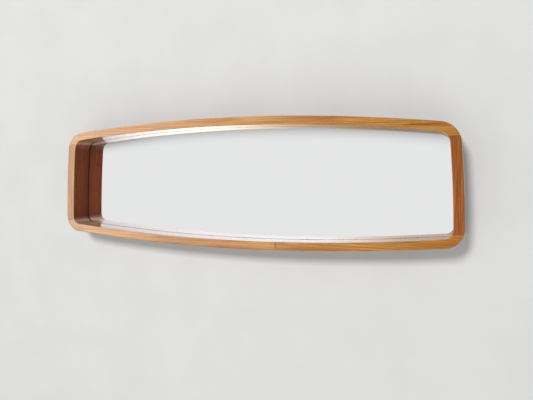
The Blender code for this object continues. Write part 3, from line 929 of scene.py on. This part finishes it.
def plywood():
    """Birch plywood: veneers of alternating direction, the outer ones with grain along X."""
    material, graph = new_material("Birch plywood")
    _, (x, y, z) = graph.place()
    low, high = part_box("backboard")
    veneer = (high.y - low.y) / VENEERS
    layer = graph.math("FLOOR", graph.math("DIVIDE", graph.math("SUBTRACT", y, low.y), veneer))
    layer = graph.math("MINIMUM", graph.math("MAXIMUM", layer, 0.0), VENEERS - 1.0)
    crossed = graph.math("MODULO", layer, 2.0)
    along = graph.choose(crossed, x, z)
    across = graph.choose(crossed, z, x)
    place = graph.node("CombineXYZ", {0: along, 1: across, 2: layer}).outputs[0]
    figure = graph.noise(place, (420 * MM, 30 * MM, 1.0), 3.0)
    flame = graph.math("FRACT", graph.math("MULTIPLY", figure, FLAMES))
    flame = graph.math("MULTIPLY", graph.remap(flame, 0.1, 0.9), graph.remap(flame, 1.0, 0.9))
    streak = graph.noise(place, (60 * MM, 1.4 * MM, 1.0), 3.0, 0.6)
    fleck = graph.remap(graph.noise(place, (7 * MM, 0.5 * MM, 1.0), 1.0), 0.62, 0.72)
    shade = graph.mix(graph.math("MULTIPLY", flame, 0.45), *BIRCH)
    shade = graph.mix(graph.remap(streak, 0.4, 0.7, 0.0, 0.5), shade, BIRCH_STREAK)
    shade = graph.mix(graph.math("MULTIPLY", fleck, 0.5), shade, BIRCH_FLECK)
    shade = graph.mix(graph.math("MULTIPLY", crossed, 0.35), shade, BIRCH_END_GRAIN)
    relief = graph.math("SUBTRACT", streak, fleck)
    finish_material(
        graph,
        Base_Color=shade,
        Roughness=graph.remap(streak, 0.3, 0.7, 0.55, 0.7),
        Specular_IOR_Level=0.3,
        Normal=graph.bump(relief, 0.06 * MM, 0.5),
    )
    return material


# ---------------------------------------------------------------- glass and soft layers

SILVER = colour(0.97, 0.975, 0.975)
TAPE_BLACK = (colour(0.010, 0.010, 0.011), colour(0.035, 0.033, 0.031))
TAPE_CELL = 0.5 * MM
FOAM_WHITE = (colour(0.74, 0.74, 0.72), colour(0.86, 0.86, 0.85))
FOAM_CELL = 1.4 * MM

# Painted shade on the silver under the mirrored top rail, darker at its left end than further
# right.
PAINTED_SHADE_BAND = 34 * MM
PAINTED_SHADE_ENDS = (-430 * MM, -240 * MM)
PAINTED_SHADE_DEPTHS = (0.62, 0.42)


def mirror_glass():
    """Silvered glass, with painted shade: its colour darkens just under the reflected edge of the
    top rail.
    """
    material, graph = new_material("Mirror glass")
    _, (x, _, z) = graph.place()
    incoming = graph.node("NewGeometry").outputs["Incoming"]
    toward_x, toward_y, toward_z = graph.node("SeparateXYZ", {0: incoming}).outputs
    recess = graph.math("DIVIDE", GLASS_Y - FRONT_Y, toward_y)
    leaving_x = graph.math("MULTIPLY_ADD", toward_x, recess, x)
    leaving_z = graph.math("MULTIPLY_ADD", toward_z, recess, z)
    below_edge = graph.math("SUBTRACT", graph.inset("top", leaving_x, leaving_z), RAIL_WALL)
    closeness = graph.math("SUBTRACT", 1.0, graph.math("DIVIDE", below_edge, PAINTED_SHADE_BAND))
    closeness = graph.math("MAXIMUM", closeness, 0.0)
    in_opening = graph.math("GREATER_THAN", below_edge, 0.0)
    seen = graph.node("LightPath").outputs["Is Camera Ray"]
    depth = graph.remap(leaving_x, *PAINTED_SHADE_ENDS, *PAINTED_SHADE_DEPTHS)
    # Painted shade: the silver is darkened just under the reflected top edge, for the camera only.
    painted_shade = graph.product(closeness, closeness, in_opening, seen, depth)
    shade = graph.math("SUBTRACT", 1.0, painted_shade)
    silver = graph.mix(1.0, SILVER, shade, "MULTIPLY")
    finish_material(graph, Base_Color=silver, Metallic=1.0, Roughness=0.0)
    return material


def glazing_tape():
    """Black closed-cell foam tape, dull, with fine dust."""
    material, graph = new_material("Black foam tape")
    place, _ = graph.place()
    cell = graph.cells(place, TAPE_CELL)
    dust = graph.noise(place, 8 * MM, 4.0, 0.6)
    shade = graph.mix(graph.remap(dust, 0.45, 0.75), *TAPE_BLACK)
    finish_material(
        graph,
        Base_Color=shade,
        Roughness=graph.remap(dust, 0.3, 0.7, 0.7, 0.85),
        Normal=graph.bump(cell, 0.1 * MM, 0.5),
    )
    return material


def white_foam():
    """White foam sheet with a pattern of cells."""
    material, graph = new_material("White foam")
    place, _ = graph.place()
    cell = graph.cells(place, FOAM_CELL)
    tone = graph.noise(place, 30 * MM)
    shade = graph.mix(graph.remap(cell, 0.1, 0.8), *FOAM_WHITE)
    shade = graph.mix(1.0, shade, graph.remap(tone, 0.3, 0.7, 0.95, 1.0), "MULTIPLY")
    finish_material(
        graph,
        Base_Color=shade,
        Roughness=graph.remap(tone, 0.3, 0.7, 0.8, 0.9),
        Normal=graph.bump(cell, 0.3 * MM, 0.6),
    )
    return material


# ---------------------------------------------------------------- metal and rubber

ZINC = (colour(0.60, 0.61, 0.62), colour(0.70, 0.71, 0.72))
ZINC_DULL = colour(0.46, 0.46, 0.45)
ZINC_CRYSTAL = 2.2 * MM
NICKEL = (colour(0.74, 0.72, 0.68), colour(0.50, 0.44, 0.36))
RUBBER = (colour(0.022, 0.022, 0.023), colour(0.065, 0.063, 0.060))


def zinc_plate():
    """Zinc plated sheet: faint crystals, rolling lines and dull patches."""
    material, graph = new_material("Zinc plate")
    place, _ = graph.place()
    cell_colour = graph.cells(place, ZINC_CRYSTAL, "Color")
    crystal = graph.node("SeparateXYZ", {0: cell_colour}).outputs[0]
    rolled = graph.noise(place, (0.12 * MM, 0.12 * MM, 14 * MM), 3.0, 0.6)
    dull = graph.noise(place, 7 * MM, 4.0, 0.6)
    shade = graph.mix(crystal, *ZINC)
    shade = graph.mix(graph.remap(dull, 0.5, 0.75, 0.0, 0.6), shade, ZINC_DULL)
    roughness = graph.math("MULTIPLY_ADD", crystal, 0.08, graph.remap(dull, 0.3, 0.7, 0.28, 0.46))
    finish_material(
        graph,
        Base_Color=shade,
        Metallic=1.0,
        Roughness=roughness,
        Normal=graph.bump(rolled, 0.02 * MM, 0.35),
    )
    return material


def bright_steel():
    """Nickel plated steel with fine scratches and a little tarnish."""
    material, graph = new_material("Bright steel")
    place, _ = graph.place()
    scratch = graph.noise(place, (0.1 * MM, 3 * MM, 0.1 * MM), 3.0, 0.65)
    tarnish = graph.noise(place, 3 * MM, 4.0, 0.6)
    shade = graph.mix(graph.remap(tarnish, 0.45, 0.75), *NICKEL)
    finish_material(
        graph,
        Base_Color=shade,
        Metallic=1.0,
        Roughness=graph.remap(tarnish, 0.3, 0.75, 0.2, 0.42),
        Normal=graph.bump(scratch, 0.01 * MM, 0.4),
    )
    return material


def black_rubber():
    """Moulded rubber, with a fine grain and a pale bloom."""
    material, graph = new_material("Black rubber")
    place, _ = graph.place()
    grain = graph.noise(place, 0.35 * MM, 3.0)
    bloom = graph.noise(place, 4 * MM, 4.0, 0.6)
    shade = graph.mix(graph.remap(bloom, 0.45, 0.75), *RUBBER)
    finish_material(
        graph,
        Base_Color=shade,
        Roughness=graph.remap(bloom, 0.3, 0.7, 0.55, 0.8),
        Normal=graph.bump(grain, 0.06 * MM, 0.5),
    )
    return material


# ---------------------------------------------------------------- backdrop, light and camera

# Light that the wood reflects by way of the glass: warm in the room, and white or bluish
# from the window, for rays that leave the mirror falling or rising.
ROOM_TINTS = (colour(1.0, 0.76, 0.52), colour(1.0, 0.86, 0.74))
WINDOW_TINTS = (colour(1.0, 0.98, 0.95), colour(0.88, 0.92, 1.0))
PLASTER = (colour(0.76, 0.76, 0.75), colour(0.79, 0.79, 0.78))


def finish_sheen(graph, leftward, y, z):
    """What a finish reflects directly: bright towards the left, and dim straight ahead."""
    sheen = graph.math("MINIMUM", graph.product(leftward, leftward, SHEEN_RISE), SHEEN_LIMIT)
    sheen = graph.math("MULTIPLY", sheen, graph.remap(leftward, 0.70, 0.92, 1.0, 0.15))
    behind = graph.math("GREATER_THAN", y, 0.0)
    return graph.choose(behind, sheen, graph.remap(z, -0.4, 0.8, 0.3, 1.3))


def mirrored_room(graph, leftward, z):
    """Level and tint of what the wood reflects by way of the glass."""
    rising = graph.remap(z, -0.06, 0.06)
    high_falling = graph.remap(leftward, 0.42, 0.60, 3.0, 1.7)
    high_rising = graph.remap(leftward, 0.45, 0.60, 1.6, 1.3)
    low_falling = graph.remap(leftward, 0.15, 0.33, 0.34, 0.75)
    low_rising = graph.remap(leftward, 0.0, 0.06, 0.08, 0.62)
    high = graph.choose(rising, high_falling, high_rising)
    low = graph.choose(rising, low_falling, low_rising)
    window = graph.math("MULTIPLY_ADD", z, WINDOW_LEAN, leftward)
    share = graph.remap(window, *WINDOW_EDGE)
    tints = [graph.mix(rising, *pair) for pair in (ROOM_TINTS, WINDOW_TINTS)]
    return graph.choose(share, low, high), graph.mix(share, *tints)


def add_world():
    """Pale studio. What it sends depends on the kind of ray, and for glossy rays on whether
    they have bounced off something glossy before."""
    world = bpy.data.worlds.new("Studio")
    bpy.context.scene.world = world
    world.use_nodes = True
    graph = Graph(world.node_tree)
    world.cycles.sampling_method = "NONE"
    direction = graph.node("TexCoord").outputs["Generated"]
    x, y, z = graph.node("SeparateXYZ", {0: direction}).outputs
    rays = graph.node("LightPath").outputs
    second = graph.math("GREATER_THAN", rays["Glossy Depth"], 1.5)
    leftward = graph.math("MAXIMUM", graph.math("MULTIPLY", x, -1.0), 0.0)
    room_level, room_tint = mirrored_room(graph, leftward, z)
    sheen = finish_sheen(graph, leftward, y, z)

    sharp_level = graph.choose(second, MIRRORED_LEVEL, room_level)
    soft_level = graph.choose(second, sheen, room_level)
    glossy_level = graph.choose(rays["Is Singular Ray"], soft_level, sharp_level)
    level = graph.choose(rays["Is Glossy Ray"], AMBIENT_LEVEL, glossy_level)
    level = graph.choose(rays["Is Camera Ray"], level, BACKDROP_LEVEL)
    tint = graph.mix(second, colour(1, 1, 1), room_tint)
    background = graph.node("Background", {"Color": tint, "Strength": level})
    graph.node("OutputWorld", {"Surface": background.outputs[0]})


def add_lamp(lamp):
    """A soft square lamp that faces the mirror. Glossy things don't show it."""
    light = bpy.data.lights.new(lamp.name, "AREA")
    light.size = lamp.size
    light.energy = lamp.power
    thing = bpy.data.objects.new(lamp.name, light)
    thing.location = lamp.place
    thing.rotation_euler = (-Vector(lamp.place)).to_track_quat("-Z", "Y").to_euler()
    thing.visible_glossy = False
    bpy.context.scene.collection.objects.link(thing)


def pale_surface(name, glow, clear_behind):
    """Matt surface with a faint mottle, which can be made clear from behind."""
    material, graph = new_material(name)
    place, _ = graph.place()
    mottle = graph.noise(place, 140 * MM, 4.0)
    shade = graph.mix(graph.remap(mottle, 0.3, 0.7), *PLASTER)
    matt = graph.node("BsdfDiffuse", {"Color": shade}).outputs[0]
    light = graph.node("Emission", {"Color": shade, "Strength": glow}).outputs[0]
    face = graph.node("AddShader", {0: matt, 1: light}).outputs[0]
    if clear_behind:
        clear = graph.node("BsdfTransparent").outputs[0]
        behind = graph.node("NewGeometry").outputs["Backfacing"]
        face = graph.node("MixShader", {0: behind, 1: face, 2: clear}).outputs[0]
    graph.node("OutputMaterial", {"Surface": face})
    return material


def add_stage_plane(name, corners, material):
    mesh = bpy.data.meshes.new(name)
    mesh.from_pydata(corners, [], [tuple(range(len(corners)))])
    mesh.materials.append(material)
    plane = bpy.data.objects.new(name, mesh)
    bpy.context.scene.collection.objects.link(plane)
    return plane


def rectangle(low, high):
    """Corners of a rectangle once round, from two opposite ones."""
    return [(low[0], low[1]), (high[0], low[1]), (high[0], high[1]), (low[0], high[1])]


def add_backdrop():
    """A pale wall behind the mirror, which only the camera sees, and a pale floor."""
    reach = STAGE_REACH
    corners = rectangle((-reach, FLOOR_HEIGHT), (reach, WALL_HEIGHT))
    plaster = pale_surface("Pale plaster", 0.0, clear_behind=True)
    wall = add_stage_plane("wall", [(x, WALL_Y, z) for x, z in corners], plaster)
    wall.visible_diffuse = False
    wall.visible_glossy = False
    wall.visible_shadow = False
    wall.visible_transmission = False
    corners = rectangle((-reach, -reach), (reach, reach))
    screed = pale_surface("Pale floor", FLOOR_GLOW, clear_behind=False)
    add_stage_plane("floor", [(x, y, FLOOR_HEIGHT) for x, y in corners], screed)


def add_camera():
    camera = bpy.data.cameras.new("Camera")
    camera.lens = CAMERA_LENS
    camera.sensor_width = SENSOR_WIDTH
    thing = bpy.data.objects.new("Camera", camera)
    thing.location = CAMERA_PLACE
    thing.rotation_euler = (math.radians(90) + CAMERA_PITCH, 0, CAMERA_YAW)
    bpy.context.scene.collection.objects.link(thing)
    bpy.context.scene.camera = thing


def finish_node(name, material, ease):
    """Gives a CAD node its finish and eased edges."""
    for slot in frame["nodes"][name].material_slots:
        slot.material = material
    ease_node(name, ease)


def main():
    bpy.context.scene.view_settings.view_transform = "Standard"
    zinc = zinc_plate()
    steel = bright_steel()
    add_boards()
    add_dowels(dowel_wood())
    add_screws(steel)
    add_turn_buttons(zinc)
    add_rings(steel)
    add_bumpers(black_rubber())
    finish_node("mirror_glass", mirror_glass(), GLASS_EASE)
    finish_node("glazing_tape", glazing_tape(), TAPE_EASE)
    finish_node("foam_sheet", white_foam(), FOAM_EASE)
    finish_node("backboard", plywood(), BACKBOARD_EASE)
    for name in nodes_starting("hanger_strap_"):
        finish_node(name, zinc, STRAP_EASE)
    add_world()
    for lamp in LAMPS:
        add_lamp(lamp)
    add_backdrop()
    add_camera()


main()
